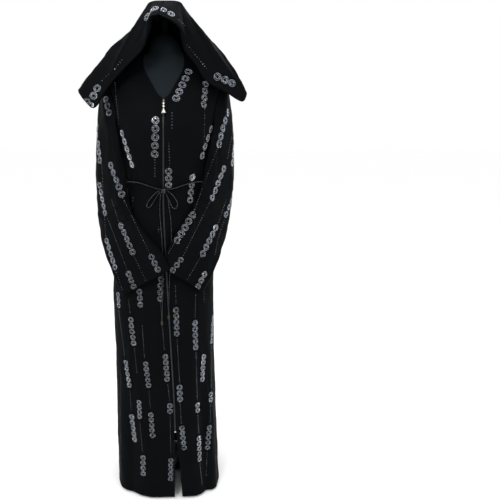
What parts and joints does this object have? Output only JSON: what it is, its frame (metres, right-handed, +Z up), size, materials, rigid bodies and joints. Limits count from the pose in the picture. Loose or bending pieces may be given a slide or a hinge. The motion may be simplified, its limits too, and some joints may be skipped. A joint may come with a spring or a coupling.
{
  "type": "hooded abaya on limbless dress form",
  "caption": "Long black hooded abaya with a front zip and thin tie belt, standing on a limbless dress form and stand.",
  "frame": {"origin": "middle of the stand's underside, on the floor; the stand's pole runs up the Z axis", "axes": "+Z up; the wearer faces -Y; +X is the wearer's left"},
  "size_m": [0.4873, 0.3929, 1.6327],
  "materials": {
    "abaya_cloth": "soft, near-black, slight sheen",
    "zip_tape": "woven",
    "form_cover": "smooth dark grey jersey",
    "gold_metal": "polished",
    "stand_metal": "satin black"
  },
  "bodies": {
    "abaya": {"front_left": "abaya_cloth", "front_right": "abaya_cloth", "back": "abaya_cloth", "sleeve_left": "abaya_cloth", "sleeve_right": "abaya_cloth", "hood_left": "abaya_cloth", "hood_right": "abaya_cloth", "zip_tape_left": "zip_tape", "zip_tape_right": "zip_tape", "zip_slider": "gold_metal", "zip_stop": "gold_metal", "belt": "abaya_cloth", "belt_knot": "abaya_cloth", "belt_loop_left": "abaya_cloth", "belt_loop_right": "abaya_cloth", "belt_tail_left": "abaya_cloth", "belt_tail_right": "abaya_cloth", "tail_end_left": "gold_metal", "tail_end_right": "gold_metal", "dress_form": "form_cover", "hood_rest": "form_cover", "stand_pole": "stand_metal", "stand_base": "stand_metal"},
    "pull": {"zip_pull": "gold_metal"}
  },
  "joints": [
    {"name": "pull_swing", "type": "hinge", "parent": "abaya", "child": "pull", "pos_m": [-0.00413, -0.14793, 1.36936], "axis": [-1, 0, 0], "range_deg": [0, 110]}
  ]
}
